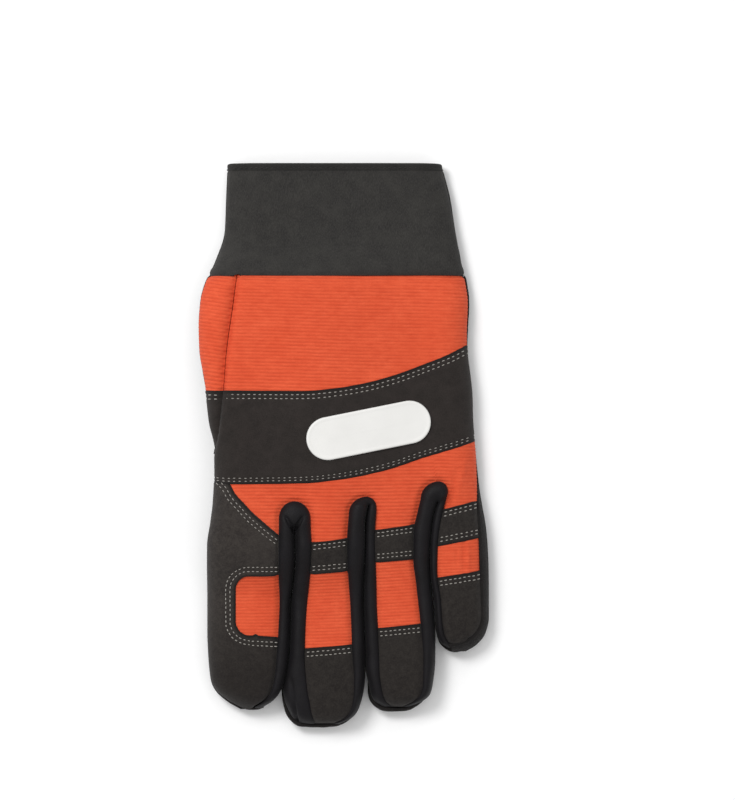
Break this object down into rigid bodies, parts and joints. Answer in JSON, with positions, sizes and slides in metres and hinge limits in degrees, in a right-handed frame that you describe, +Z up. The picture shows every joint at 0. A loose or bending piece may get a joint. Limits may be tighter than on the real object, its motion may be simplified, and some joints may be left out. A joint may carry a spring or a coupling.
{
  "type": "work glove",
  "caption": "Left-hand work glove with ribbed back, dark knuckle bands and fingertip caps, lying flat on its palm with the thumb tucked under.",
  "frame": {"origin": "under the middle of the glove, on the surface that it lies on", "axes": "+Y from the fingertips to the cuff, +Z up out of the back of the hand, +X towards the little finger"},
  "size_m": [0.1321, 0.2576, 0.0291],
  "materials": {
    "knit": "orange rib knit, matt",
    "suede": "charcoal synthetic suede with light double stitching",
    "band": "smooth dark synthetic leather",
    "cuff": "charcoal stretch fabric",
    "fourchette": "smooth blue-black stretch fabric",
    "palm": "black synthetic leather",
    "patch": "bare off-white moulded patch, satin"
  },
  "bodies": {
    "root": {"cuff_back": "cuff", "cuff_palm": "cuff", "cuff_hem_back": "cuff", "cuff_hem_palm": "cuff", "back_upper": "knit", "thumb_side_upper": "knit", "thumb_side_lower": "band", "hand_band": "band", "patch": "patch", "back_lower": "knit", "index_panel": "suede", "index_window": "knit", "knuckle_band_middle": "suede", "knuckle_band_ring": "suede", "knuckle_band_little": "suede", "finger_panel_middle": "knit", "finger_panel_ring": "knit", "finger_panel_little": "knit", "tip_cap_middle": "suede", "tip_cap_ring": "suede", "tip_cap_little": "suede", "fourchette_index_middle": "fourchette", "fourchette_middle_ring": "fourchette", "fourchette_ring_little": "fourchette", "palm": "palm", "palm_index": "palm", "palm_middle": "palm", "palm_ring": "palm", "palm_little": "palm", "thumb_upper": "palm", "thumb_lower": "palm"}
  },
  "joints": []
}
